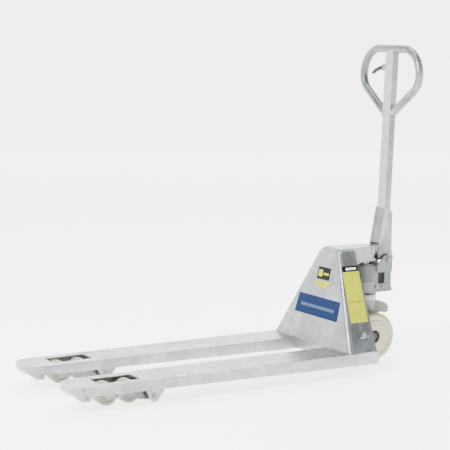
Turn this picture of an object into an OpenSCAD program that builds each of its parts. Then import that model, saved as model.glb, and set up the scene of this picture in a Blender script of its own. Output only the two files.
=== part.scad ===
/* [Forks] */
// Width over both forks
width_over = 540; // [530:5:550]
// Width of one fork
fork_w = 160; // [156:2:164]
// Fork length from the front plate to the tip
fork_len = 1164; // [1150:2:1170]
// Height of the fork top when lowered
fork_top = 85; // [85:1:86]
// Sheet thickness of the forks
fork_t = 4; // [3:1:4]

/* [Wheels] */
// Radius of the steer wheels
wheel_r = 95; // [92:1:96]
// Width of one steer wheel
wheel_w = 50; // [46:1:50]
// Radius of the load rollers
roller_r = 40; // [38:1:40]
// Width of a load roller
roller_w = 60; // [56:1:60]

/* [Tower] */
// Half width of the tower at its foot
tower_half = 266; // [260:1:267]
// Sheet thickness of the tower
tower_t = 5; // [4:1:6]
// Outer radius of the rolled folds
fold_r = 18; // [12:1:20]

/* [Handle] */
// Width of the rectangular handle tube
tube_w = 50; // [46:1:50]
// Depth of the rectangular handle tube
tube_d = 28; // [26:1:28]
// Radius of the round loop tube
loop_r = 16; // [14:1:16]
// Half width of the loop centreline
loop_half = 180; // [172:1:184]
// Backward lean of the handle at rest, in degrees
lean = 2.5; // [2:0.5:3]

/* [Hidden] */
$fn = 64;

// heel of the forks to the middle of the overall length
ox = 519;
fork_y = (width_over - fork_w) / 2;
heel = 125;
tip = fork_len + heel;
nose = 74;
// steering axis and wheel axle height
sx = 117;
axle_z = wheel_r;
// handle pivot
hx = 199; hz = 393;
// rocker pivot, upper pin offset, lower pin offset
rx = -55; rz = 145;
pin_ux = 75; pin_uz = 63;
low_x = 27.1; low_z = 37.2;
// roller arm pivot and bogie centre
qx = -966.7; qz = 24.6;
bx = -1085; bz = roller_r;
axle_gap = 43.5;
er_x = -1232; er_z = 50; er_r = 16;
head_r = 41; head_z0 = 391; head_z1 = 446;

galv = [0.72, 0.74, 0.74];
cast = [0.70, 0.74, 0.71];
steel = [0.55, 0.56, 0.58];
nylon = [0.90, 0.88, 0.78];
black = [0.08, 0.08, 0.09];

module place() { translate([ox, 0, 0]) children(); }
// XZ outline extruded between two Y planes
module slab(y0, y1) { translate([0, y1, 0]) rotate([90, 0, 0]) linear_extrude(y1 - y0) children(); }
// round bar along Y
module bar_y(x, z, r, y0, y1) { translate([x, y0, z]) rotate([-90, 0, 0]) cylinder(r = r, h = y1 - y0); }
module block(x0, x1, y0, y1, z0, z1) { translate([x0, y0, z0]) cube([x1 - x0, y1 - y0, z1 - z0]); }
// link outline between two round ends, one closed outline
module link2d(p, q, rp, rq) {
    d = norm(q - p); a = atan2(q[1] - p[1], q[0] - p[0]); g = acos((rp - rq) / d);
    translate(p) rotate(a) polygon(concat(
        [for (i = [0:12]) let (t = -g + i * 2 * g / 12) [d + rq * cos(t), rq * sin(t)]],
        [for (i = [0:18]) let (t = g + i * (360 - 2 * g) / 18) [rp * cos(t), rp * sin(t)]]));
}
// lever with an open notch at its end, pointing along angle a
module notched2d(p, a, w, tip_r, n0, nw) {
    translate(p) rotate(a) difference() {
        translate([0, -w / 2]) square([tip_r, w]);
        translate([n0, -nw / 2]) square([tip_r, nw]);
    }
}

// ---------- forks ----------
module fork_plan() {
    polygon(concat([[0, fork_w / 2]], [for (i = [0:20]) [-(tip - nose) - nose * sin(i * 9), fork_w / 2 * cos(i * 9)]],
        [[0, -fork_w / 2]]));
}
module fork(cy) {
    color(galv) place() difference() {
        union() {
            difference() {
                intersection() {
                    slab(cy - fork_w / 2, cy + fork_w / 2) polygon([[0, fork_top], [0, 37], [-1215, 52], [-1215, 36],
                        [-1245, 36], [-tip + 2, 72], [-tip, 75], [-tip, fork_top]]);
                    translate([0, cy, 0]) linear_extrude(200) fork_plan();
                }
                slab(cy - fork_w / 2 + fork_t, cy + fork_w / 2 - fork_t)
                    polygon([[1, -1], [1, fork_top - 4], [-1210, fork_top - 4], [-1210, -1]]);
            }
            for (s = [-1, 1]) {
                y0 = cy + s * (fork_w / 2 - fork_t - 4) - 4;
                slab(y0, y0 + 8) union() {
                    polygon([[-924, 58], [-924, 49], [-950, 15], [-985, 20], [-1002, 49], [-1002, 58]]);
                    translate([qx, qz]) circle(r = 20);
                }
            }
        }
        // roller window
        translate([-1085, cy, 60]) linear_extrude(60) union() {
            square([160, 60], center = true);
            square([140, 80], center = true);
            for (i = [-1, 1], j = [-1, 1]) translate([i * 70, j * 30]) circle(r = 10);
        }
        // lowered land under the tower, and slot for the cranked rod
        block(-134.5, 1, cy - 100, cy + 100, fork_top - 1, fork_top + 9);
        block(-112, -6, cy - 24, cy + 24, 60, 95);
        // entry roller pocket and pin
        block(-1256, -1208, cy - 32, cy + 32, 0, er_z + er_r + 4);
        bar_y(er_x, er_z, 7, cy - 90, cy + 90);
        bar_y(qx, qz, 10, cy - 90, cy + 90);
    }
}
module fork_left() { fork(fork_y); }
module fork_right() { fork(-fork_y); }
module entry_pins() {
    color(steel) place() for (s = [-1, 1]) bar_y(er_x, er_z, 7, s * fork_y - 76, s * fork_y + 76);
}
module entry_roller(cy) {
    color([0.75, 0.72, 0.6]) place() difference() {
        bar_y(er_x, er_z, er_r, cy - 30, cy + 30);
        bar_y(er_x, er_z, 7.06, cy - 31, cy + 31);
    }
}
module entry_roller_left() { entry_roller(fork_y); }
module entry_roller_right() { entry_roller(-fork_y); }
module arm_shafts() {
    color(steel) place() for (s = [-1, 1]) bar_y(qx, qz, 10, s * fork_y - fork_w / 2, s * fork_y + fork_w / 2);
}

// ---------- tower ----------
function fx(z) = -133 + (z - 85) * 80 / 360;
function ty(z) = tower_half - (z - 85) * 200 / 360;
function rxr(z) = -9 + (z - 85) * 31 / 370;
// closed outline through levels of [height, inset]
module tower_hull(levels, o, rear) {
    hull() for (q = levels) {
        z = q[0]; e = q[1];
        for (s = [-1, 1]) {
            translate([fx(z) + fold_r + e, s * (ty(z) - fold_r - e), z]) cylinder(r = fold_r - o, h = 0.02, $fn = 48);
            translate([rxr(z) + rear - 1, s * (ty(z) - o - e) - 0.5, z]) cube([1, 1, 0.02]);
        }
    }
}
module tower_shell() {
    color(galv) place() difference() {
        tower_hull([[84, 0], [436, 0], [443, 3], [449, 9]], 0, 0);
        tower_hull([[70, 0], [431, 0], [438, 3], [444, 9]], tower_t, 30);
        bar_y(rx, rz, 15, -280, 280);
        for (s = [-1, 1]) bar_y(-25, 136, 4, s * 230 - 40, s * 230 + 40);
    }
}
module head_plan(o) {
    polygon([[-40 + o, -53 + o], [18, -53 + o], [44, -49 + o], [72, -head_r + o], [sx, -head_r + o],
        [sx, head_r - o], [72, head_r - o], [44, 49 - o], [18, 53 - o], [-40 + o, 53 - o]]);
    translate([sx, 0]) circle(r = head_r - o);
}
module head_cap() {
    color(galv) place() difference() {
        union() {
            translate([0, 0, head_z1]) linear_extrude(4) head_plan(0);
            difference() {
                translate([0, 0, head_z0]) linear_extrude(head_z1 - head_z0 + 1) head_plan(0);
                block(-60, 4, -100, 100, head_z0 - 1, head_z1);
                block(0, 24, -100, 100, head_z0 - 1, head_z1 - 5);
            }
        }
        translate([0, 0, head_z0 - 1]) linear_extrude(head_z1 - head_z0 + 1) head_plan(7);
    }
}
module ram_seat() {
    color(cast) place() difference() {
        translate([sx, 0, head_z0]) cylinder(r = head_r - 7.5, h = head_z1 - head_z0);
        translate([sx, 0, head_z0 - 1]) cylinder(r = 16.5, h = 9);
    }
}
module cross_member() {
    color(galv) place() difference() {
        block(-130, -100, -fork_y + fork_w / 2, fork_y - fork_w / 2, 42, 84);
        block(-126, -99, -200, 200, 41, 80);
    }
}
module rocker_shaft() {
    color(steel) place() bar_y(rx, rz, 12, -238, 238);
}
module shaft_bushes() {
    // turned rings let into the tower sides
    color(steel) place() for (s = [-1, 1]) difference() {
        bar_y(rx, rz, 15, s * 223 - 15, s * 223 + 15);
        bar_y(rx, rz, 12, -280, 280);
    }
}
module shaft_bolts() {
    color(steel) place() for (s = [-1, 1])
        translate([rx, s * 238, rz]) rotate([-90 * s, 0, 0]) difference() {
            union() { cylinder(r = 13, h = 3); cylinder(r = 10, h = 8); }
            translate([0, 0, 5]) cylinder(r = 4.5, h = 5, $fn = 6);
        }
}

// ---------- linkage ----------
module rocker() {
    color(steel) place() difference() {
        union() {
            bar_y(rx, rz, 25, -203, 203);
            for (s = [-1, 1]) {
                y0 = s > 0 ? 20 : -32;
                slab(y0, y0 + 12) link2d([rx, rz], [rx + pin_ux, rz + pin_uz], 31, 14);
                for (t = [-1, 1]) {
                    yl = s * fork_y + t * 13;
                    slab(yl - 4, yl + 4) notched2d([rx, rz], -53.95, 32, 52.8, 28.5, 17.6);
                }
            }
            bar_y(rx + pin_ux, rz + pin_uz, 8, -50, 50);
        }
        bar_y(rx, rz, 12.05, -280, 280);
    }
}
module push_rod(cy) {
    color(steel) place() union() {
        translate([-935, cy, 68]) rotate([0, 90, 0]) cylinder(r = 7, h = 890);
        slab(cy - 5, cy + 5) polygon([[-62, 60], [-24, 60], [-17, 72], [-17, 116], [-40, 116], [-47, 76], [-62, 76]]);
        bar_y(rx + low_x, rz - low_z, 7, cy - 20, cy + 20);
        slab(cy - 5, cy + 5) translate([qx + 27.1, 68]) circle(r = 11);
        bar_y(qx + 27.1, 68, 5, cy - 20, cy + 20);
    }
}
module push_rod_left() { push_rod(fork_y); }
module push_rod_right() { push_rod(-fork_y); }
module roller_arm(cy) {
    color(galv) place() difference() {
        union() {
            for (s = [-1, 1]) {
                y0 = cy + (s > 0 ? 39 : -47);
                slab(y0, y0 + 8) link2d([bx, bz], [qx, qz], 14, 17);
                yl = cy + s * 13;
                slab(yl - 4, yl + 4) notched2d([qx, qz], 58, 26, 54.5, 33, 13.4);
            }
            bar_y(qx, qz, 17, cy - 66, cy + 66);
        }
        bar_y(qx, qz, 10.05, cy - 90, cy + 90);
        for (s = [-1, 1]) bar_y(bx, bz, 8.05, cy + s * 43 - 9, cy + s * 43 + 9);
    }
}
module roller_arm_left() { roller_arm(fork_y); }
module roller_arm_right() { roller_arm(-fork_y); }
module bogie(cy) {
    color(galv) place() difference() {
        for (s = [-1, 1]) {
            y0 = cy + (s > 0 ? 31 : -37);
            slab(y0, y0 + 6) link2d([bx - axle_gap, bz], [bx + axle_gap, bz], 14, 14);
        }
        for (i = [-1, 1]) bar_y(bx + i * axle_gap, bz, 8, cy - 60, cy + 60);
        for (s = [-1, 1]) bar_y(bx, bz, 8, cy + s * 38 - 12, cy + s * 38 + 12);
    }
}
module bogie_left() { bogie(fork_y); }
module bogie_right() { bogie(-fork_y); }
module bogie_pins(cy) {
    color(steel) place() for (s = [-1, 1]) bar_y(bx, bz, 8, cy + (s > 0 ? 31 : -50), cy + (s > 0 ? 50 : -31));
}
module bogie_pins_left() { bogie_pins(fork_y); }
module bogie_pins_right() { bogie_pins(-fork_y); }
module roller_axles(cy) {
    color(steel) place() for (i = [-1, 1]) bar_y(bx + i * axle_gap, bz, 8, cy - 38, cy + 38);
}
module roller_axles_left() { roller_axles(fork_y); }
module roller_axles_right() { roller_axles(-fork_y); }
module load_roller(x, cy) {
    h = roller_w / 2;
    color([0.62, 0.6, 0.45]) place() translate([x, cy, bz]) rotate([-90, 0, 0]) rotate_extrude()
        polygon([[8.06, -h + 1], [18, -h + 1], [18, -h + 3], [26, -h + 3], [26, -h], [roller_r - 3, -h], [roller_r, -h + 3],
            [roller_r, h - 3], [roller_r - 3, h], [26, h], [26, h - 3], [18, h - 3], [18, h - 1], [8.06, h - 1]]);
}
module load_roller_1() { load_roller(bx - axle_gap, fork_y); }
module load_roller_2() { load_roller(bx + axle_gap, fork_y); }
module load_roller_3() { load_roller(bx - axle_gap, -fork_y); }
module load_roller_4() { load_roller(bx + axle_gap, -fork_y); }

// ---------- steering foot ----------
neck_r = 34;
module yoke() {
    color(galv) place() difference() {
        union() {
            translate([sx, 0, 237]) cylinder(r = 50, h = 21);
            for (s = [-1, 1]) {
                y0 = s > 0 ? 36 : -48;
                slab(y0, y0 + 12) polygon([[4, 199], [10, 193], [60, 193], [66, 199], [66, 237], [sx, 237], [sx, 258],
                    [50, 258], [4, 230]]);
            }
        }
        translate([sx, 0, 230]) cylinder(r = neck_r + 0.05, h = 40);
        block(10, 60, -60, 60, 197.5, 222);
    }
}
module thrust_bearing() {
    color(steel) place() translate([sx, 0, 232.3]) difference() {
        cylinder(r = 44, h = 4.7);
        translate([0, 0, -1]) cylinder(r = neck_r + 0.3, h = 8);
    }
}
module foot_casting() {
    color(cast) place() difference() {
        union() {
            translate([sx, 0, 218]) cylinder(r = 44, h = 14);
            translate([sx, 0, 231]) cylinder(r = neck_r, h = 31);
            translate([sx, 0, 194]) cylinder(r = 40, h = 30);
            slab(-24, 24) polygon([[95, 222], [95, 190], [88, 150], [92, 95], [142, 95], [150, 150], [157, 172], [168, 177],
                [184, 180], [200, 176], [216, 176], [222, 182], [222, 198], [214, 210], [196, 221], [168, 229], [146, 231.5],
                [130, 231.5]]);
            bar_y(sx, axle_z, 25, -27, 27);
        }
        bar_y(sx, axle_z, 10, -60, 60);
    }
}
module steer_axle() {
    color(steel) place() bar_y(sx, axle_z, 10, -77, 77);
}
module axle_clips() {
    color(black) place() for (s = [-1, 1]) difference() {
        bar_y(sx, axle_z, 17, s * 73.4 - 1, s * 73.4 + 1);
        bar_y(sx, axle_z, 10, s * 73.4 - 4, s * 73.4 + 4);
    }
}
module wheel(cy, s) {
    h = wheel_w / 2;
    color(nylon) place() translate([sx, cy, axle_z]) rotate([-90, 0, 0]) rotate_extrude($fn = 96)
        polygon(concat([[26, -h + 1], [27, -h], [64, -h], [67, -h + 2.5], [72, -h + 2.5], [75, -h],
                [wheel_r - 12, -h]],
            [for (i = [0:5]) [wheel_r - 12 + 12 * sin(i * 18), -h + 10 - 10 * cos(i * 18)]],
            [for (i = [0:5]) [wheel_r - 12 + 12 * cos(i * 18), h - 10 + 10 * sin(i * 18)]],
            [[75, h], [72, h - 2.5], [67, h - 2.5], [64, h], [27, h], [26, h - 1]]));
}
module wheel_left() { wheel(55.5, 1); }
module wheel_right() { wheel(-55.5, -1); }
module bearing(cy) {
    color(steel) place() translate([sx, cy, axle_z]) rotate([-90, 0, 0]) rotate_extrude()
        polygon([[10.05, -16], [14, -16], [14, -15], [22, -15], [22, -16], [26, -16], [26, 16], [22, 16], [22, 15], [14, 15],
            [14, 16], [10.05, 16]]);
}
module bearing_left() { bearing(55.5); }
module bearing_right() { bearing(-55.5); }

// ---------- pump ----------
module pump_body() {
    color(cast) place() difference() {
        union() {
            translate([sx, 0, 262]) cylinder(r = 43.5, h = 111);
            translate([sx, 0, 300]) cylinder(r = 46, h = 9);
            slab(-41, 41) polygon([[120, 264], [120, 371], [187, 371], [193, 347], [220, 347], [220, 284], [226, 274], [223, 264]]);
            for (s = [-1, 1]) {
                y0 = s > 0 ? 41 : -53;
                slab(y0, y0 + 12) union() {
                    polygon([[150, 345], [143, 352], [143, 370], [184, 410], [216, 401], [216, 345]]);
                    translate([200, 397]) circle(r = 16);
                }
            }
        }
        translate([sx, 0, 255]) cylinder(r = neck_r, h = 8);
        translate([sx, 0, 262]) cylinder(r = 34, h = 120);
        // side windows
        for (s = [-1, 1]) block(156, 187, s * 38 - 6, s * 38 + 6, 298, 353);
        bar_y(hx, hz, 8, -60, 60);
        // plunger recess
        block(190, 240, -17, 17, 342, 400);
        block(196, 240, -14, 14, 287, 343);
    }
}
module pump_cylinder() {
    color(steel) place() difference() {
        translate([sx, 0, 262]) cylinder(r = 34, h = 116);
        translate([sx, 0, 272]) cylinder(r = 16.05, h = 120);
        translate([sx, 0, 374]) cylinder(r = 21, h = 10);
    }
}
module seal_ring() {
    color(black) place() translate([sx, 0, 374]) difference() {
        cylinder(r = 21, h = 5);
        translate([0, 0, -1]) cylinder(r = 16.1, h = 8);
    }
}
module ram() {
    color([0.8, 0.8, 0.82]) place() translate([sx, 0, 275]) cylinder(r = 16, h = 123.6);
}
module plunger_housing() {
    color([0.42, 0.44, 0.44]) place() difference() {
        union() {
            translate([226, 0, 287]) cylinder(r = 12.5, h = 55);
            translate([226, 0, 308]) cylinder(r = 15, h = 28);
            block(196, 226, -14, 14, 287, 342);
        }
        translate([226, 0, 291]) cylinder(r = 9.05, h = 60);
    }
}
module plunger() {
    color([0.8, 0.8, 0.82]) place() {
        translate([226, 0, 331]) cylinder(r = 9, h = 50.5);
        translate([226, 0, 381.5]) cylinder(r = 14, h = 6);
    }
}
module plunger_spring() {
    turns = 5; r0 = 12; h0 = 38.6;
    color([0.3, 0.3, 0.32]) place() for (i = [0:turns - 1])
        translate([226, 0, 344 + i * (h0 - 4.4) / (turns - 1)]) rotate_extrude() translate([r0, 0]) circle(r = 1.5);
}
module valve_block() {
    color(cast) place() union() {
        block(150, 184, 41, 52, 305, 343);
        bar_y(172, 322, 11, 52, 57);
    }
}
module valve_lever() {
    color(steel) place() difference() {
        union() {
            bar_y(172, 322, 10, 58, 63);
            slab(58, 63) polygon([[172, 315], [206, 328], [212, 334], [208, 340], [202, 339], [170, 328]]);
        }
        bar_y(172, 322, 4.05, 50, 70);
        bar_y(206, 334, 2, 50, 70);
    }
}
module filler_plug() {
    color(black) place() {
        translate([168, 24, 371]) cylinder(r = 9, h = 3);
        translate([168, 24, 374]) cylinder(r = 6, h = 5, $fn = 6);
    }
}
module pump_bolts() {
    color(steel) place() {
        for (s = [-1, 1]) for (q = [[148, 285], [180, 285]])
            translate([q[0], s * 41, q[1]]) rotate([-90 * s, 0, 0]) cylinder(r = 6, h = 5, $fn = 6);
        bar_y(172, 322, 4, 57, 66);
        bar_y(172, 322, 8, 64, 66);
    }
}
module pivot_pin() {
    color(steel) place() {
        bar_y(hx, hz, 8, -57, 57);
        for (s = [-1, 1]) bar_y(hx, hz, 12, s * 57 - 2, s * 57 + 2);
    }
}

// ---------- handle ----------
module hframe() { translate([hx, 0, hz]) rotate([0, lean, 0]) children(); }
module handle_socket() {
    color(galv) place() difference() {
        union() {
            for (s = [-1, 1]) {
                y0 = s > 0 ? 29 : -35;
                slab(y0, y0 + 6) union() {
                    polygon([[160, 402], [160, 425], [193, 596], [197, 599], [220, 585], [224, 577], [224, 428], [233, 402],
                        [222, 392], [199, 380], [184, 386]]);
                    translate([hx, hz]) circle(r = 17);
                    translate([225, 397]) circle(r = 8);
                }
                bar_y(hx, hz, 14, s * 37.6 - 3, s * 37.6 + 3);
            }
            slab(-30, 30) polygon([[166.4, 458], [193, 595.8], [193.5, 595.8], [192, 565], [171.4, 458]]);
            slab(-30, 30) polygon([[220.8, 436], [224, 436], [224, 560], [220.8, 560]]);
        }
        bar_y(hx, hz, 8.05, -60, 60);
        bar_y(225, 397, 4.05, -60, 60);
        hframe() for (z = [110, 176]) translate([0, 50, z]) rotate([90, 0, 0]) cylinder(r = 5, h = 100);
    }
}
module socket_pins() {
    color(steel) place() hframe() for (z = [110, 176]) {
        translate([0, 35, z]) rotate([90, 0, 0]) cylinder(r = 5, h = 70);
        for (s = [-1, 1]) translate([0, s * tube_w / 2, z]) rotate([-90 * s, 0, 0]) difference() {
            cylinder(r = 9, h = 29 - tube_w / 2);
            translate([0, 0, -1]) cylinder(r = 5, h = 20);
        }
    }
}
module handle_tube() {
    color(galv) place() hframe() difference() {
        translate([-tube_d / 2, -tube_w / 2, 76]) cube([tube_d, tube_w, 747]);
        translate([-tube_d / 2 + 3, -tube_w / 2 + 3, 75]) cube([tube_d - 6, tube_w - 6, 745]);
        for (z = [110, 176]) translate([0, 50, z]) rotate([90, 0, 0]) cylinder(r = 5, h = 100);
        translate([-9.5, tube_w / 2 - 5, 738]) cube([19, 10, 38]);
    }
}
leg_y0 = 20; leg_z0 = 573; leg_a = 36.5; bend_a = 70; bend_b = 100; top_z = 830;
va_z = leg_z0 + (loop_half - leg_y0) * tan(leg_a);
ta = bend_a * tan((90 - leg_a) / 2);
// loop centreline in the handle's own YZ plane: [y, z, direction]
tube_side = tube_w / 2 + 0.1;
leg_end_z = leg_z0 + (tube_side - leg_y0) * tan(leg_a);
half_path = concat([[tube_side, leg_end_z, leg_a]],
    [for (i = [0:5]) let (a = leg_a - 90 + i * (90 - leg_a) / 5)
        [loop_half - bend_a + bend_a * cos(a), va_z + ta + bend_a * sin(a), a + 90]],
    [for (i = [0:10]) let (a = i * 9)
        [loop_half - bend_b + bend_b * cos(a), top_z - bend_b + bend_b * sin(a), a + 90]]);
hn = len(half_path);
path = concat(half_path, [for (i = [0:hn - 1]) let (q = half_path[hn - 1 - i]) [-q[0], q[1], -q[2]]]);
sides = 24;
function ring(k) = let (q = path[k], last = k == 0 || k == 2 * hn - 1)
    [for (j = [0:sides - 1]) let (t = j * 360 / sides, o = loop_r * sin(t))
        last ? [loop_r * cos(t), q[0], q[1] + o / cos(leg_a)]
             : [loop_r * cos(t), q[0] - o * sin(q[2]), q[1] + o * cos(q[2])]];
module handle_loop() {
    n = 2 * hn;
    color(galv) place() hframe() polyhedron(
        points = [for (k = [0:n - 1]) each ring(k)],
        faces = concat([[for (j = [0:sides - 1]) sides - 1 - j]],
            [for (k = [0:n - 2], j = [0:sides - 1]) let (m = (j + 1) % sides)
                [k * sides + j, k * sides + m, (k + 1) * sides + m, (k + 1) * sides + j]],
            [[for (j = [0:sides - 1]) (n - 1) * sides + j]]));
}
module cam_roller() {
    color(steel) place() {
        bar_y(225, 397, 9, -12, 12);
        bar_y(225, 397, 4, -34.7, 34.7);
    }
}
module lever_bracket() {
    color(steel) place() hframe() difference() {
        for (s = [-1, 1]) translate([s * 11 - 2, tube_w / 2, 743]) cube([4, 20, 28]);
        translate([-20, tube_w / 2 + 11, 757]) rotate([0, 90, 0]) cylinder(r = 4, h = 40);
    }
}
module lever_pin() {
    color(steel) place() hframe() translate([-15, tube_w / 2 + 11, 757]) rotate([0, 90, 0]) cylinder(r = 4, h = 30);
}
module control_lever() {
    color(black) place() hframe() difference() {
        translate([-8, 0, 0]) rotate([90, 0, 90]) linear_extrude(16)
            polygon([[9, 753], [29, 753], [30.5, 750.5], [33.5, 748.9], [38, 748.6], [60, 748], [84, 743.5], [108, 735],
                [117, 728], [121, 730], [118, 736], [104, 747], [82, 756], [60, 763], [40, 765.4], [34, 765.2], [30, 763],
                [28.5, 760], [9, 760]]);
        translate([-20, tube_w / 2 + 11, 757]) rotate([0, 90, 0]) cylinder(r = 4.05, h = 40);
    }
}
module release_rod() {
    color(steel) place() hframe() {
        translate([-8.3, 8, 76]) cylinder(r = 2, h = 674);
        translate([-10.3, 3, 748]) cube([14.3, 10, 3.8]);
    }
}

fork_left();
fork_right();
tower_shell();
head_cap();
ram_seat();
cross_member();
rocker_shaft();
shaft_bolts();
entry_pins();
entry_roller_left();
entry_roller_right();
arm_shafts();
shaft_bushes();
rocker();
push_rod_left();
push_rod_right();
roller_arm_left();
roller_arm_right();
bogie_left();
bogie_right();
bogie_pins_left();
bogie_pins_right();
roller_axles_left();
roller_axles_right();
load_roller_1();
load_roller_2();
load_roller_3();
load_roller_4();
yoke();
thrust_bearing();
foot_casting();
pump_body();
pump_cylinder();
plunger_housing();
seal_ring();
valve_block();
filler_plug();
pump_bolts();
steer_axle();
axle_clips();
wheel_left();
wheel_right();
bearing_left();
bearing_right();
ram();
pivot_pin();
plunger();
plunger_spring();
handle_socket();
handle_tube();
handle_loop();
cam_roller();
socket_pins();
lever_bracket();
lever_pin();
control_lever();
release_rod();
valve_lever();
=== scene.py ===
import bpy, bmesh, math, random
from mathutils import Vector, Matrix


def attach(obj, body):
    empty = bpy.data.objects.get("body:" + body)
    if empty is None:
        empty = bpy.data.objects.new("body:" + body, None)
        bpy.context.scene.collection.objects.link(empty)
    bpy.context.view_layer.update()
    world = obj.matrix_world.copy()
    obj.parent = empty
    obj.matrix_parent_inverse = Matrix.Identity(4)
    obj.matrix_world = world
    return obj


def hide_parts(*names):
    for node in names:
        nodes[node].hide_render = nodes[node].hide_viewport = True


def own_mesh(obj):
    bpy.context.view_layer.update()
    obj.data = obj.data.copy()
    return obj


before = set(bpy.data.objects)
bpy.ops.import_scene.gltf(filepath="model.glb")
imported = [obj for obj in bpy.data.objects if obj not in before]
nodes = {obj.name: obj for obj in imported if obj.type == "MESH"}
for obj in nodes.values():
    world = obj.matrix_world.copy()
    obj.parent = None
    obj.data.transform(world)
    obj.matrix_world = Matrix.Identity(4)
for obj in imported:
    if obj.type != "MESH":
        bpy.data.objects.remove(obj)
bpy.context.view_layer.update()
OX = 0.519
LEAN = math.radians(2.5)
rnd = random.Random(7)


def P(x, y, z):
    """A point given in millimetres from the fork heels, in row metres."""
    return Vector(((x / 1000.0) + OX, y / 1000.0, z / 1000.0))


def H(x, y, z):
    """A point in the handle's own leaning frame (mm from the pivot), in row metres."""
    X = 199 + x * math.cos(LEAN) + z * math.sin(LEAN)
    Z = 393 - x * math.sin(LEAN) + z * math.cos(LEAN)
    return P(X, y, Z)


# ------------------------------------------------------------------ camera
yaw, pitch, roll = math.radians(30.8357), math.radians(-7.5974), math.radians(-0.3809)
cy, sy, cp, sp = math.cos(yaw), math.sin(yaw), math.cos(pitch), math.sin(pitch)
fwd = Vector((sy * cp, cy * cp, sp))
right = Vector((cy, -sy, 0))
up = right.cross(fwd)
r2 = right * math.cos(roll) - up * math.sin(roll)
u2 = right * math.sin(roll) + up * math.cos(roll)
cam_data = bpy.data.cameras.new("camera")
cam = bpy.data.objects.new("camera", cam_data)
bpy.context.scene.collection.objects.link(cam)
m = Matrix((r2, u2, -fwd)).transposed().to_4x4()
m.translation = Vector((-3.497271 + OX, -4.974743, 1.343528))
cam.matrix_world = m
cam_data.lens = 125.0
cam_data.sensor_width = 36.0
cam_data.clip_end = 200
bpy.context.scene.camera = cam


# ------------------------------------------------------------------ node helpers
def new_mat(name):
    mat = bpy.data.materials.new(name)
    mat.use_nodes = True
    nt = mat.node_tree
    nt.nodes.clear()
    out = nt.nodes.new("ShaderNodeOutputMaterial")
    bs = nt.nodes.new("ShaderNodeBsdfPrincipled")
    nt.links.new(bs.outputs[0], out.inputs[0])
    tc = nt.nodes.new("ShaderNodeTexCoord")
    return mat, nt, bs, tc.outputs["Object"]


def noise(nt, vec, scale, detail=4.0, rough=0.55, dist=0.0):
    n = nt.nodes.new("ShaderNodeTexNoise")
    n.inputs["Scale"].default_value = scale
    n.inputs["Detail"].default_value = detail
    n.inputs["Roughness"].default_value = rough
    n.inputs["Distortion"].default_value = dist
    nt.links.new(vec, n.inputs["Vector"])
    return n.outputs["Fac"]


def voronoi(nt, vec, scale, out="Color", feature="F1"):
    n = nt.nodes.new("ShaderNodeTexVoronoi")
    n.feature = feature
    n.inputs["Scale"].default_value = scale
    nt.links.new(vec, n.inputs["Vector"])
    return n.outputs[out]


def ramp(nt, fac, stops):
    n = nt.nodes.new("ShaderNodeValToRGB")
    while len(n.color_ramp.elements) < len(stops):
        n.color_ramp.elements.new(0.5)
    for e, (p, c) in zip(n.color_ramp.elements, stops):
        e.position = p
        e.color = (c, c, c, 1) if not hasattr(c, "__len__") else (*c, 1)
    nt.links.new(fac, n.inputs["Fac"])
    return n.outputs["Color"]


def mix(nt, fac, a, b, mode="MIX"):
    n = nt.nodes.new("ShaderNodeMix")
    n.data_type = "RGBA"
    n.blend_type = mode
    for sock, v in ((n.inputs["Factor"], fac), (n.inputs["A"], a), (n.inputs["B"], b)):
        if hasattr(v, "is_linked") or hasattr(v, "links"):
            nt.links.new(v, sock)
        elif hasattr(v, "__len__"):
            sock.default_value = (*v, 1)
        else:
            sock.default_value = v
    return n.outputs["Result"]


def math_node(nt, op, a, b=None):
    n = nt.nodes.new("ShaderNodeMath")
    n.operation = op
    for i, v in enumerate((a, b)):
        if v is None:
            continue
        if hasattr(v, "links"):
            nt.links.new(v, n.inputs[i])
        else:
            n.inputs[i].default_value = v
    return n.outputs[0]


def maprange(nt, v, a, b, c, d):
    n = nt.nodes.new("ShaderNodeMapRange")
    nt.links.new(v, n.inputs["Value"])
    for k, x in zip(("From Min", "From Max", "To Min", "To Max"), (a, b, c, d)):
        n.inputs[k].default_value = x
    return n.outputs["Result"]


def bump(nt, bs, height, strength, dist, prev=None):
    n = nt.nodes.new("ShaderNodeBump")
    n.inputs["Strength"].default_value = strength
    n.inputs["Distance"].default_value = dist
    nt.links.new(height, n.inputs["Height"])
    if prev is not None:
        nt.links.new(prev, n.inputs["Normal"])
    nt.links.new(n.outputs["Normal"], bs.inputs["Normal"])
    return n.outputs["Normal"]


def pointiness(nt):
    g = nt.nodes.new("ShaderNodeNewGeometry")
    return g.outputs["Pointiness"]


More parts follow.
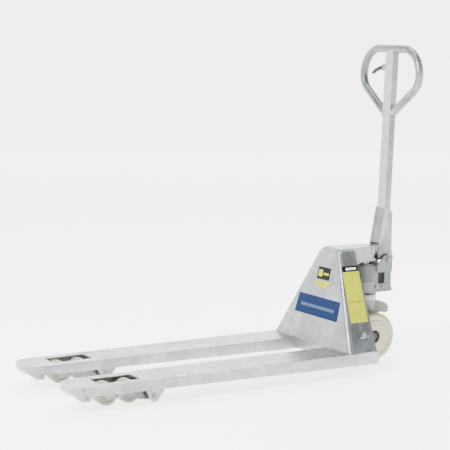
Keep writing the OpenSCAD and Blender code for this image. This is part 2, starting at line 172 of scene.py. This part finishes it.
# ------------------------------------------------------------------ materials
def galvanised(name, tint=(1.0, 1.0, 1.0), dark=0.0, spangle=38.0, seed=0.0):
    """Hot-dip zinc: overlapping crystal spangle, dull runs, brighter bare patches, and a painted highlight on convex
    edges.
    """
    mat, nt, bs, oc = new_mat(name)
    mp = nt.nodes.new("ShaderNodeMapping")
    mp.inputs["Location"].default_value = (seed, seed * 0.7, seed * 1.3)
    nt.links.new(oc, mp.inputs["Vector"])
    v = mp.outputs["Vector"]
    warp = nt.nodes.new("ShaderNodeTexNoise")
    warp.inputs["Scale"].default_value = 22
    nt.links.new(v, warp.inputs["Vector"])
    wv = nt.nodes.new("ShaderNodeVectorMath")
    wv.operation = "MULTIPLY_ADD"
    wv.inputs[1].default_value = (0.012, 0.012, 0.012)
    nt.links.new(warp.outputs["Color"], wv.inputs[0])
    nt.links.new(v, wv.inputs[2])
    cells = voronoi(nt, wv.outputs[0], spangle)
    bw = nt.nodes.new("ShaderNodeSeparateColor")
    nt.links.new(cells, bw.inputs[0])
    cell_a, cell_b = bw.outputs[0], bw.outputs[1]
    patches = noise(nt, v, 5.5, 6, 0.6, 0.6)
    runs_m = nt.nodes.new("ShaderNodeMapping")
    runs_m.inputs["Scale"].default_value = (9, 9, 1.6)
    nt.links.new(v, runs_m.inputs["Vector"])
    runs = noise(nt, runs_m.outputs["Vector"], 2.2, 5, 0.6, 0.4)
    fine = noise(nt, v, 260, 3, 0.6)
    d = 1.0 - dark
    c_lo = (0.070 * d * tint[0], 0.077 * d * tint[1], 0.079 * d * tint[2])
    c_mid = (0.150 * d * tint[0], 0.160 * d * tint[1], 0.162 * d * tint[2])
    c_hi = (0.300 * d * tint[0], 0.312 * d * tint[1], 0.310 * d * tint[2])
    base = ramp(nt, patches, [(0.37, c_lo), (0.50, c_mid), (0.64, c_hi)])
    base = mix(nt, maprange(nt, cell_a, 0, 1, 0.0, 0.30), base, c_hi)
    base = mix(nt, maprange(nt, cell_b, 0.55, 1, 0.0, 0.26), base, c_lo)
    base = mix(nt, maprange(nt, runs, 0.5, 0.75, 0.0, 0.45), base, (0.21 * d * tint[0], 0.225 * d * tint[1], 0.228 * d * tint[2]))
    # painted highlight: convex edges are lightened towards a pale grey
    base = mix(nt, maprange(nt, pointiness(nt), 0.505, 0.56, 0.0, 0.5), base, (0.50, 0.51, 0.50))
    nt.links.new(base, bs.inputs["Base Color"])
    met = maprange(nt, patches, 0.3, 0.75, 0.78, 0.62)
    nt.links.new(met, bs.inputs["Metallic"])
    rg = math_node(nt, "ADD", maprange(nt, cell_b, 0, 1, -0.05, 0.07), maprange(nt, runs, 0.3, 0.7, 0.24, 0.40))
    nt.links.new(rg, bs.inputs["Roughness"])
    n1 = bump(nt, bs, cell_a, 0.10, 0.0006)
    n2 = bump(nt, bs, patches, 0.35, 0.0020, n1)
    bump(nt, bs, fine, 0.06, 0.0003, n2)
    return mat


def cast_paint(name, col=(0.120, 0.140, 0.124), rough=0.40, crease_shade=0.35, metallic=0.0):
    mat, nt, bs, oc = new_mat(name)
    big = noise(nt, oc, 14, 5, 0.6, 0.3)
    fine = noise(nt, oc, 330, 4, 0.65)
    lumps = noise(nt, oc, 70, 4, 0.6)
    base = mix(nt, maprange(nt, big, 0.35, 0.7, 0, 1), [c * 0.86 for c in col], [min(1, c * 1.14) for c in col])
    # painted shade: concave creases and hollows are darkened towards 30% of the paint colour
    base = mix(nt, maprange(nt, pointiness(nt), 0.43, 0.492, crease_shade, 0.0), base, [c * 0.30 for c in col])
    # painted highlight: convex edges are lightened towards a pale grey
    base = mix(nt, maprange(nt, pointiness(nt), 0.52, 0.60, 0.0, 0.55), base, (0.34, 0.36, 0.34))
    nt.links.new(base, bs.inputs["Base Color"])
    bs.inputs["Metallic"].default_value = metallic
    nt.links.new(maprange(nt, lumps, 0.3, 0.7, rough - 0.08, rough + 0.12), bs.inputs["Roughness"])
    n1 = bump(nt, bs, lumps, 0.30, 0.0009)
    bump(nt, bs, fine, 0.16, 0.0004, n1)
    return mat


def steel_mat(name, col=(0.55, 0.56, 0.575), rough=0.30, metallic=0.95, scratch=True):
    mat, nt, bs, oc = new_mat(name)
    big = noise(nt, oc, 30, 4, 0.6)
    mp = nt.nodes.new("ShaderNodeMapping")
    mp.inputs["Scale"].default_value = (1.0, 14.0, 1.0)
    nt.links.new(oc, mp.inputs["Vector"])
    lines = noise(nt, mp.outputs["Vector"], 160, 3, 0.7)
    base = mix(nt, maprange(nt, big, 0.35, 0.7, 0, 1), [c * 0.74 for c in col], [min(1, c * 1.15) for c in col])
    # painted shade: concave creases are darkened towards 22% of the colour
    base = mix(nt, maprange(nt, pointiness(nt), 0.43, 0.492, 0.55, 0.0), base, [c * 0.22 for c in col])
    nt.links.new(base, bs.inputs["Base Color"])
    bs.inputs["Metallic"].default_value = metallic
    nt.links.new(maprange(nt, lines, 0.3, 0.7, rough - 0.07, rough + 0.12), bs.inputs["Roughness"])
    bump(nt, bs, lines if scratch else big, 0.08, 0.0003)
    return mat


def nylon_mat(name, col=(0.46, 0.41, 0.27), edge=(0.24, 0.21, 0.085), rough=0.38, grime=0.5, axis_c=None):
    mat, nt, bs, oc = new_mat(name)
    big = noise(nt, oc, 18, 5, 0.6, 0.4)
    fine = noise(nt, oc, 190, 4, 0.6)
    marks_m = nt.nodes.new("ShaderNodeMapping")
    marks_m.inputs["Scale"].default_value = (1.0, 6.0, 1.0)
    nt.links.new(oc, marks_m.inputs["Vector"])
    marks = noise(nt, marks_m.outputs["Vector"], 60, 5, 0.7, 0.8)
    base = mix(nt, maprange(nt, big, 0.35, 0.7, 0, 1), [c * 0.93 for c in col], [min(1, c * 1.05) for c in col])
    if axis_c is not None:
        # distance from the wheel's axle, so the tread band takes a yellower colour and a painted shade on its rounded
        # shoulder
        sub = nt.nodes.new("ShaderNodeVectorMath"); sub.operation = "SUBTRACT"
        nt.links.new(oc, sub.inputs[0]); sub.inputs[1].default_value = axis_c[0]
        mul = nt.nodes.new("ShaderNodeVectorMath"); mul.operation = "MULTIPLY"
        nt.links.new(sub.outputs[0], mul.inputs[0]); mul.inputs[1].default_value = (1, 0, 1)
        ln = nt.nodes.new("ShaderNodeVectorMath"); ln.operation = "LENGTH"
        nt.links.new(mul.outputs[0], ln.inputs[0])
        r = axis_c[1]
        tread_tint_and_shade_band = maprange(nt, ln.outputs["Value"], r - 0.016, r - 0.004, 0.0, 0.85)
        base = mix(nt, tread_tint_and_shade_band, base, edge)
    base = mix(nt, maprange(nt, marks, 0.58, 0.75, 0.0, grime), base, [c * 0.45 for c in edge])
    nt.links.new(base, bs.inputs["Base Color"])
    nt.links.new(maprange(nt, big, 0.3, 0.7, rough - 0.06, rough + 0.1), bs.inputs["Roughness"])
    bs.inputs["Subsurface Weight"].default_value = 0.06
    bs.inputs["Subsurface Radius"].default_value = (0.01, 0.008, 0.005)
    n1 = bump(nt, bs, fine, 0.10, 0.0004)
    bump(nt, bs, marks, 0.14, 0.0005, n1)
    return mat


def plastic_mat(name, col=(0.03, 0.03, 0.032), rough=0.42):
    mat, nt, bs, oc = new_mat(name)
    bs.inputs["Specular IOR Level"].default_value = 0.16
    fine = noise(nt, oc, 900, 3, 0.6)
    big = noise(nt, oc, 45, 4, 0.6)
    base = mix(nt, maprange(nt, big, 0.35, 0.7, 0, 1), [c * 0.8 for c in col], [c * 1.5 + 0.004 for c in col])
    # painted highlight: convex edges are lightened
    base = mix(nt, maprange(nt, pointiness(nt), 0.52, 0.6, 0.0, 0.5), base, [c * 2.6 + 0.012 for c in col])
    nt.links.new(base, bs.inputs["Base Color"])
    nt.links.new(maprange(nt, big, 0.3, 0.7, rough - 0.08, rough + 0.1), bs.inputs["Roughness"])
    bump(nt, bs, fine, 0.12, 0.0002)
    return mat


def label_mat(name, col, rough=0.46):
    mat, nt, bs, oc = new_mat(name)
    bs.inputs["Specular IOR Level"].default_value = 0.06
    big = noise(nt, oc, 26, 5, 0.6, 0.5)
    spk = noise(nt, oc, 420, 3, 0.7)
    base = mix(nt, maprange(nt, big, 0.35, 0.7, 0, 1), [c * 0.90 for c in col], [min(1, c * 1.08 + 0.004) for c in col])
    base = mix(nt, maprange(nt, spk, 0.68, 0.78, 0.0, 0.35), base, [min(1, c * 1.3 + 0.01) for c in col])
    nt.links.new(base, bs.inputs["Base Color"])
    nt.links.new(maprange(nt, big, 0.3, 0.7, rough - 0.06, rough + 0.1), bs.inputs["Roughness"])
    bump(nt, bs, big, 0.10, 0.0004)
    return mat


M = {
    "galv": galvanised("galvanised_frame", tint=(0.74, 0.78, 0.82), seed=0.3),
    "galv_fork": galvanised("galvanised_forks", tint=(1.06, 1.09, 1.09), seed=1.7),
    "galv_dark": galvanised("galvanised_tube", tint=(0.86, 0.88, 0.90), dark=0.18, spangle=60, seed=4.1),
    "galv_part": galvanised("galvanised_linkage", dark=0.16, spangle=70, seed=2.2),
    "cast": cast_paint("painted_casting"),
    "cast_dark": cast_paint("painted_casting_dark", (0.045, 0.052, 0.052), 0.38, 0.5),
    "steel": steel_mat("zinc_plated_steel", (0.20, 0.20, 0.20)),
    "bright": steel_mat("ground_chrome", (0.50, 0.50, 0.51), 0.14),
    "dark_steel": steel_mat("black_oxide_steel", (0.045, 0.045, 0.048), 0.40, 0.7),
    "bearing": steel_mat("bearing_steel", (0.035, 0.032, 0.028), 0.42, 0.6),
    "black": plastic_mat("black_moulded_grip", (0.008, 0.008, 0.009)),
    "rubber": plastic_mat("black_seal_rubber", (0.008, 0.008, 0.008), 0.62),
    "roller": nylon_mat("load_roller_polyamide", (0.24, 0.235, 0.16), (0.14, 0.135, 0.07), 0.42, 0.55),
    "blue": label_mat("blue_plate_enamel", (0.0003, 0.013, 0.060)),
    "yellow": label_mat("yellow_plate_enamel", (0.44, 0.47, 0.0003)),
    "pale": label_mat("pale_yellow_plate", (0.46, 0.42, 0.01)),
    "ink": label_mat("black_plate_enamel", (0.005, 0.005, 0.006)),
    "pale_blue": label_mat("pale_blue_plate", (0.05, 0.085, 0.15)),
    "white": label_mat("white_plate_enamel", (0.75, 0.77, 0.78)),
    "weld": galvanised("galvanised_weld", dark=0.10, spangle=150, seed=6.3),
}
wheel_c = {}
for nm, yy in (("wheel_left", 55.5), ("wheel_right", -55.5)):
    M[nm] = nylon_mat("cream_nylon_" + nm, axis_c=(P(117, yy, 95), 0.095))

GALV = {"fork_left": "galv_fork", "fork_right": "galv_fork", "tower_shell": "galv", "head_cap": "galv_dark",
        "cross_member": "galv_part", "shaft_bushes": "steel", "socket_pins": "galv_dark", "roller_arm_left": "galv_part",
        "roller_arm_right": "galv_part", "bogie_left": "galv_part", "bogie_right": "galv_part", "yoke": "galv_part",
        "handle_socket": "galv_dark", "handle_tube": "galv_dark", "handle_loop": "galv", "rocker": "galv_part",
        "foot_casting": "cast", "pump_body": "cast", "ram_seat": "cast", "valve_block": "cast",
        "plunger_housing": "cast_dark", "ram": "bright", "plunger": "bright", "control_lever": "black",
        "filler_plug": "black", "seal_ring": "rubber", "axle_clips": "dark_steel", "bearing_left": "rubber",
        "bearing_right": "rubber", "wheel_left": "wheel_left", "wheel_right": "wheel_right",
        "load_roller_1": "roller", "load_roller_2": "roller", "load_roller_3": "roller", "load_roller_4": "roller",
        "entry_roller_left": "roller", "entry_roller_right": "roller", "steer_axle": "dark_steel",
        "pump_cylinder": "steel"}


def set_mat(o, mat):
    if len(o.material_slots) == 0:
        o.data.materials.append(mat)
    for s in o.material_slots:
        s.material = mat


NO_BEVEL = {"handle_loop", "release_rod", "plunger_spring"}
for n, o in nodes.items():
    set_mat(o, M[GALV.get(n, "steel")])
    if n not in NO_BEVEL:
        w = o.modifiers.new("weld", "WELD")
        w.merge_threshold = 0.00002
        b = o.modifiers.new("edge", "BEVEL")
        b.width = 0.0016 if n in ("fork_left", "fork_right", "tower_shell", "pump_body", "foot_casting", "head_cap") else 0.0008
        b.segments = 2
        b.limit_method = "ANGLE"
        b.angle_limit = math.radians(38)
        b.harden_normals = False
        b.use_clamp_overlap = True


# ------------------------------------------------------------------ mesh helpers
def add_obj(name, me, mat, body, smooth=True):
    o = bpy.data.objects.new(name, me)
    bpy.context.scene.collection.objects.link(o)
    me.materials.append(mat)
    if smooth:
        for p in me.polygons:
            p.use_smooth = True
    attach(o, body)
    return o


def tube_mesh(name, pts, radii, sides=16, closed=False, cap=True):
    """Round bar swept along points with a parallel-carried ring."""
    bm = bmesh.new()
    n = len(pts)
    if not hasattr(radii, "__len__"):
        radii = [radii] * n
    rings = []
    prev = None
    for i, p in enumerate(pts):
        a = pts[(i - 1) % n] if (closed or i > 0) else pts[i]
        b = pts[(i + 1) % n] if (closed or i < n - 1) else pts[i]
        t = (b - a).normalized()
        if prev is None:
            ref = Vector((0, 0, 1)) if abs(t.z) < 0.9 else Vector((1, 0, 0))
            nrm = (ref - t * ref.dot(t)).normalized()
        else:
            nrm = (prev - t * prev.dot(t)).normalized()
        prev = nrm
        bi = t.cross(nrm)
        rings.append([bm.verts.new(p + (nrm * math.cos(2 * math.pi * k / sides) + bi * math.sin(2 * math.pi * k / sides)) * radii[i])
                      for k in range(sides)])
    last = n if closed else n - 1
    for i in range(last):
        r0, r1 = rings[i], rings[(i + 1) % n]
        for k in range(sides):
            bm.faces.new((r0[k], r0[(k + 1) % sides], r1[(k + 1) % sides], r1[k]))
    if cap and not closed:
        bm.faces.new(list(reversed(rings[0])))
        bm.faces.new(rings[-1])
    bmesh.ops.recalc_face_normals(bm, faces=bm.faces)
    me = bpy.data.meshes.new(name)
    bm.to_mesh(me)
    bm.free()
    return me


def weld_bead(name, a, b, body, r=0.0035, pitch=0.0045, mat=None, lift=None):
    """A stacked-ripple bead along a straight seam."""
    a, b = Vector(a), Vector(b)
    L = (b - a).length
    n = max(6, int(L / pitch) * 3)
    pts, rad = [], []
    for i in range(n + 1):
        t = i / n
        pts.append(a.lerp(b, t))
        end = min(1.0, 6 * t + 0.35, 6 * (1 - t) + 0.35)
        rad.append(end * r * (0.84 + 0.16 * abs(math.sin(math.pi * t * L / pitch)) + 0.05 * rnd.uniform(-1, 1)))
    return add_obj(name, tube_mesh(name, pts, rad, 10), mat or M["weld"], body)


def plate(name, corners, th, mat, body, bow=0.0, nx=14, ny=8, inset=0.004, slot="steel"):
    """A thin label plate with rounded corners on a quad of four corners, standing th proud."""
    c = [Vector(q) for q in corners]
    nrm = (c[1] - c[0]).cross(c[3] - c[0]).normalized()
    w = ((c[1] - c[0]).length + (c[2] - c[3]).length) / 2
    h = ((c[3] - c[0]).length + (c[2] - c[1]).length) / 2
    r = min(inset, w / 2.2, h / 2.2)
    prof = []
    for (cx, cyy, a0) in ((w - r, r, -90), (w - r, h - r, 0), (r, h - r, 90), (r, r, 180)):
        for k in range(5):
            a = math.radians(a0 + k * 22.5)
            prof.append(((cx + r * math.cos(a)) / w, (cyy + r * math.sin(a)) / h))

    def at(u, v, o):
        return (c[0] * (1 - u) + c[1] * u) * (1 - v) + (c[3] * (1 - u) + c[2] * u) * v + nrm * o
    bm = bmesh.new()
    lo = [bm.verts.new(at(u, v, 0)) for u, v in prof]
    hi = [bm.verts.new(at(u, v, th * 0.6)) for u, v in prof]
    k = 0.0006
    tp = [bm.verts.new(at(0.5 + (u - 0.5) * (1 - 2 * k / w), 0.5 + (v - 0.5) * (1 - 2 * k / h), th)) for u, v in prof]
    n = len(prof)
    for i in range(n):
        j = (i + 1) % n
        bm.faces.new((lo[i], lo[j], hi[j], hi[i]))
        bm.faces.new((hi[i], hi[j], tp[j], tp[i]))
    bm.faces.new(tp)
    bm.faces.new(list(reversed(lo)))
    bmesh.ops.recalc_face_normals(bm, faces=bm.faces)
    me = bpy.data.meshes.new(name)
    bm.to_mesh(me)
    bm.free()
    return add_obj(name, me, mat, body, smooth=False)


# ------------------------------------------------------------------ handle loop as one smooth bent tube
LEG_Y0, LEG_Z0, LEG_A, BA, BB, TOPZ, HALF = 20.0, 573.0, math.radians(36.5), 70.0, 100.0, 830.0, 180.0
VAZ = LEG_Z0 + (HALF - LEG_Y0) * math.tan(LEG_A)
TA = BA * math.tan((math.pi / 2 - LEG_A) / 2)
half = [(22.0, LEG_Z0 + (22.0 - LEG_Y0) * math.tan(LEG_A))]
ex, ez = HALF - BA + BA * math.cos(LEG_A - math.pi / 2), VAZ + TA + BA * math.sin(LEG_A - math.pi / 2)
for i in range(1, 10):
    t = i / 10
    half.append((half[0][0] * (1 - t) + ex * t, half[0][1] * (1 - t) + ez * t))
for i in range(15):
    a = LEG_A - math.pi / 2 + i / 14 * (math.pi / 2 - LEG_A)
    half.append((HALF - BA + BA * math.cos(a), VAZ + TA + BA * math.sin(a)))
half.append((HALF, (VAZ + TA + TOPZ - BB) / 2))
for i in range(21):
    a = i / 20 * math.pi / 2
    half.append((HALF - BB + BB * math.cos(a), TOPZ - BB + BB * math.sin(a)))
for t in (0.25, 0.5, 0.75, 1.0):
    half.append(((HALF - BB) * (1 - t), TOPZ))
path = half + [(-y, z) for y, z in reversed(half[:-1])]
loop = add_obj("loop_tube", tube_mesh("loop_tube", [H(0, y, z) for y, z in path], 0.01595, 40), M["galv"], "handle")
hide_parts("handle_loop")


# weld collars where the loop meets the tube
def collar(name, s):
    pts = []
    rad = []
    n = 60
    for i in range(n):
        t = 2 * math.pi * i / n
        o = 16.6 * math.sin(t)
        x = 16.6 * math.cos(t)
        x = max(-13.0, min(13.0, x))
        z = LEG_Z0 + (25.6 - LEG_Y0) * math.tan(LEG_A) + o / math.cos(LEG_A)
        pts.append(H(x, s * 25.6, z))
        rad.append(0.0026 * (1 + 0.16 * math.sin(t * 22)))
    return add_obj(name, tube_mesh(name, pts, rad, 10, closed=True), M["weld"], "handle")


collar("weld_loop_left", 1)
collar("weld_loop_right", -1)


# ------------------------------------------------------------------ plunger spring as a real coil
def helix(name, cx, cz0, cz1, r, wire, turns, body, node):
    pts = []
    n = int(turns * 28)
    for i in range(n + 1):
        t = i / n
        a = 2 * math.pi * turns * t
        e = min(1.0, max(0.0, (t - 0.10) / 0.80))
        z = cz0 + wire + (cz1 - cz0 - 2 * wire) * e
        pts.append(P(cx + r * math.cos(a), r * math.sin(a), z))
    o = add_obj(name, tube_mesh(name, pts, wire / 1000.0, 12), M["dark_steel"], body)
    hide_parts(node)
    return o


spring = helix("plunger_coil", 226, 342.6, 381.2, 12.0, 1.5, 5.5, "plunger", "plunger_spring")
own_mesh(spring)


# ------------------------------------------------------------------ control lever: moulded, ribbed grip
def lever_piece():
    spine = [(33, 757, 8.4, 7.8), (46, 757, 8.4, 8.2), (60, 755.6, 8.1, 8.4), (72, 752.8, 7.4, 8.4), (82, 750, 6.8, 8.4),
             (93, 746, 6.4, 8.3), (104, 741.5, 6.1, 7.9), (112, 736.3, 5.3, 6.9), (118, 731.9, 3.7, 5.2), (121.5, 729.4, 1.4, 2.4)]
    bm = bmesh.new()
    rings = []
    for i, (y, z, hh, ww) in enumerate(spine):
        a = spine[max(0, i - 1)]
        b = spine[min(len(spine) - 1, i + 1)]
        t = Vector((0, b[0] - a[0], b[1] - a[1])).normalized()
        nv = Vector((0, -t.z, t.y))
        ring = []
        for k in range(12):
            an = 2 * math.pi * (k + 0.5) / 12
            cx = ww * math.copysign(abs(math.cos(an)) ** 0.6, math.cos(an))
            cz = hh * math.copysign(abs(math.sin(an)) ** 0.6, math.sin(an))
            ring.append(bm.verts.new(H(cx, y + nv.y * cz, z + nv.z * cz)))
        rings.append(ring)
    for i in range(len(rings) - 1):
        for k in range(12):
            bm.faces.new((rings[i][k], rings[i][(k + 1) % 12], rings[i + 1][(k + 1) % 12], rings[i + 1][k]))
    bm.faces.new(list(reversed(rings[0])))
    bm.faces.new(rings[-1])
    bmesh.ops.recalc_face_normals(bm, faces=bm.faces)
    me = bpy.data.meshes.new("lever_grip")
    bm.to_mesh(me)
    bm.free()
    o = add_obj("lever_grip", me, M["black"], "control_lever")
    s = o.modifiers.new("round", "SUBSURF")
    s.levels = 2
    s.render_levels = 2
    return o


grip = lever_piece()
for i, (y, z) in enumerate(((58, 764.2), (67, 762.1), (76, 759.3), (85, 756.0), (94, 752.4))):
    pts = [H(x, y, z - 0.9 + 0.35 * math.cos(x / 7.0 * 1.4)) for x in (-6.4, -5, -3, 0, 3, 5, 6.4)]
    add_obj(f"grip_rib_{i}", tube_mesh(f"grip_rib_{i}", pts, [0.0006, 0.0010, 0.0012, 0.0012, 0.0012, 0.0010, 0.0006], 8), M["black"],
            "control_lever")


# ------------------------------------------------------------------ labels, all plain
def fx(z):
    return -133 + (z - 85) * 80 / 360


def ty(z):
    return 266 - (z - 85) * 200 / 360


def front(y, z, off=0.0):
    return P(fx(z), y, z) + Vector((-math.cos(math.atan(80 / 360)), 0, math.sin(math.atan(80 / 360)))) * off


def front_plate(name, y0, y1, z0, z1, mat, off=0.0002, th=0.0008, **k):
    # corners run so that the normal points to -X
    return plate(name, [front(y1, z0, off), front(y0, z0, off), front(y0, z1, off), front(y1, z1, off)], th, mat, "chassis", **k)


plate("label_blue", [front(151, 184, 0.0002), front(-141, 184, 0.0002), front(-141, 260, 0.0002), front(139, 260, 0.0002)],
      0.0008, M["blue"], "chassis", inset=0.003)
front_plate("label_blue_bar", -112, 116, 214, 226, M["pale_blue"], off=0.0009, th=0.0004, inset=0.002)
front_plate("label_black", -39, 44, 327, 375, M["ink"], inset=0.003)
front_plate("label_black_square", 10, 36, 338, 363, M["yellow"], off=0.0009, th=0.0004, inset=0.003)
front_plate("label_black_bar", -32, 2, 346, 354, M["pale"], off=0.0009, th=0.0004, inset=0.002)
front_plate("label_pale", -42, 48, 298, 322, M["pale"], inset=0.002)


def side(x, z, s, off=0.0):
    y = ty(z)
    return P(x, s * y, z) + Vector((0, s * math.cos(math.atan(200 / 360)), math.sin(math.atan(200 / 360)))) * off


def side_plate(name, s, q, mat, off=0.0002, th=0.0008, **k):
    pts = [side(x, z, s, off) for x, z in q]
    if s > 0:
        pts = [pts[1], pts[0], pts[3], pts[2]]
    return plate(name, pts, th, mat, "chassis", **k)


for s, tag in ((-1, "right"),):
    side_plate("label_side_" + tag, s, [(-90, 190), (-11, 190), (12, 370), (-64, 370)], M["yellow"], inset=0.002)
    side_plate("label_side_head_" + tag, s, [(-63, 370.6), (12, 370.6), (13.5, 390), (-60, 390)], M["ink"], inset=0.002)
    side_plate("label_side_rule_" + tag, s, [(-74, 262), (-4, 262), (-3.6, 264), (-73.6, 264)], M["ink"], off=0.0009, th=0.0003, inset=0.0005)
    side_plate("label_side_mark_" + tag, s, [(-46, 376), (2, 376), (3, 384), (-45, 384)], M["white"], off=0.0009, th=0.0004, inset=0.002)


def box_obj(name, lo, hi, mat, body):
    bm = bmesh.new()
    a, b = P(*lo), P(*hi)
    vs = [bm.verts.new((x, y, z)) for x in (a.x, b.x) for y in (a.y, b.y) for z in (a.z, b.z)]
    for f in ((0, 1, 3, 2), (4, 6, 7, 5), (0, 4, 5, 1), (2, 3, 7, 6), (0, 2, 6, 4), (1, 5, 7, 3)):
        bm.faces.new([vs[i] for i in f])
    bmesh.ops.recalc_face_normals(bm, faces=bm.faces)
    me = bpy.data.meshes.new(name)
    bm.to_mesh(me)
    bm.free()
    return add_obj(name, me, mat, body, smooth=False)


# dark sheets on the floor of the pump's side windows, a painted shade for the dark interior seen through them
for s, tag in ((1, "left"), (-1, "right")):
    box_obj("painted_window_shade_" + tag, (157.5, s * 31.6, 299.5), (185.5, s * 33.6, 351.5), M["rubber"], "pump")


# ------------------------------------------------------------------ welds
for s, tag in ((1, "left"), (-1, "right")):
    weld_bead("weld_side_foot_" + tag, P(-96, s * 266.2, 85.5), P(-12, s * 266.2, 85.5), "chassis", r=0.0032)
    weld_bead("weld_front_foot_" + tag, P(-134.2, s * 238, 85.8), P(-134.2, s * 114, 85.8), "chassis", r=0.0030)
    weld_bead("weld_head_side_" + tag, P(-38, s * 53.4, 449.6), P(17, s * 53.4, 449.6), "chassis", r=0.0018)
    weld_bead("weld_cross_" + tag, P(-129, s * 110.5, 82.4), P(-102, s * 110.5, 82.4), "chassis", r=0.0028)
weld_bead("weld_head_front", P(-40.4, -50, 449.6), P(-40.4, 50, 449.6), "chassis", r=0.0018)
for s, tag in ((1, "left"), (-1, "right")):
    weld_bead("weld_socket_top_" + tag, P(197.5, s * 27.2, 597), P(218.5, s * 27.2, 584), "handle", r=0.0022)


# ------------------------------------------------------------------ stage and light
def floor_mesh():
    bm = bmesh.new()
    prof = [(-60.0, -0.0002), (-9.0, -0.0002), (9.0, -0.0002)]
    n = 24
    R = 4.0
    for i in range(1, n + 1):
        a = i / n * math.pi / 2
        prof.append((9.0 + R * math.sin(a), R - R * math.cos(a)))
    prof.append((9.0 + R, 14.0))
    d = Vector((sy, cy, 0))
    l = Vector((cy, -sy, 0))
    rows = []
    for t, z in prof:
        rows.append([bm.verts.new(d * t + l * s + Vector((0, 0, z))) for s in (-60, -14, 14, 60)])
    for a, b in zip(rows, rows[1:]):
        for k in range(3):
            bm.faces.new((a[k], a[k + 1], b[k + 1], b[k]))
    bmesh.ops.recalc_face_normals(bm, faces=bm.faces)
    me = bpy.data.meshes.new("floor")
    bm.to_mesh(me)
    bm.free()
    return me


fme = floor_mesh()
floor = bpy.data.objects.new("floor", fme)
bpy.context.scene.collection.objects.link(floor)
fm, fnt, fbs, foc = new_mat("pale_floor")
fbs.inputs["Roughness"].default_value = 0.6
fbs.inputs["Base Color"].default_value = (0.90, 0.90, 0.90, 1)
fbs.inputs["Emission Color"].default_value = (1.0, 1.0, 0.99, 1)
fbs.inputs["Emission Strength"].default_value = 3.4
fme.materials.append(fm)
for p in fme.polygons:
    p.use_smooth = True

world = bpy.data.worlds.new("studio")
bpy.context.scene.world = world
world.use_nodes = True
bg = world.node_tree.nodes["Background"]
bg.inputs[0].default_value = (0.98, 0.99, 1.0, 1)
# paler towards the horizon, so every side of the model stands against a pale ground
wt = world.node_tree
wtc = wt.nodes.new("ShaderNodeTexCoord")
wse = wt.nodes.new("ShaderNodeSeparateXYZ")
wt.links.new(wtc.outputs["Generated"], wse.inputs[0])
wt.links.new(maprange(wt, wse.outputs["Z"], 0.08, 0.26, 2.2, 0.36), bg.inputs[1])


def area(name, loc, aim, size, power, col=(1, 1, 1)):
    d = bpy.data.lights.new(name, "AREA")
    d.shape = "RECTANGLE"
    d.size, d.size_y = size
    d.energy = power
    d.color = col
    o = bpy.data.objects.new(name, d)
    bpy.context.scene.collection.objects.link(o)
    o.location = loc
    o.rotation_euler = (Vector(aim) - Vector(loc)).to_track_quat("-Z", "Y").to_euler()
    return o


area("key", (-3.4, -0.9, 3.0), (0.2, 0, 0.4), (1.8, 1.8), 330)
area("top", (0.2, 0.6, 4.2), (0.0, 0, 0.2), (3.2, 2.4), 170)
area("rim", (3.2, 1.6, 2.2), (0.4, 0, 0.5), (1.6, 2.2), 70, (0.95, 0.98, 1.0))
area("fill", (1.8, -4.0, 1.6), (0.3, 0, 0.5), (2.4, 2.0), 18)
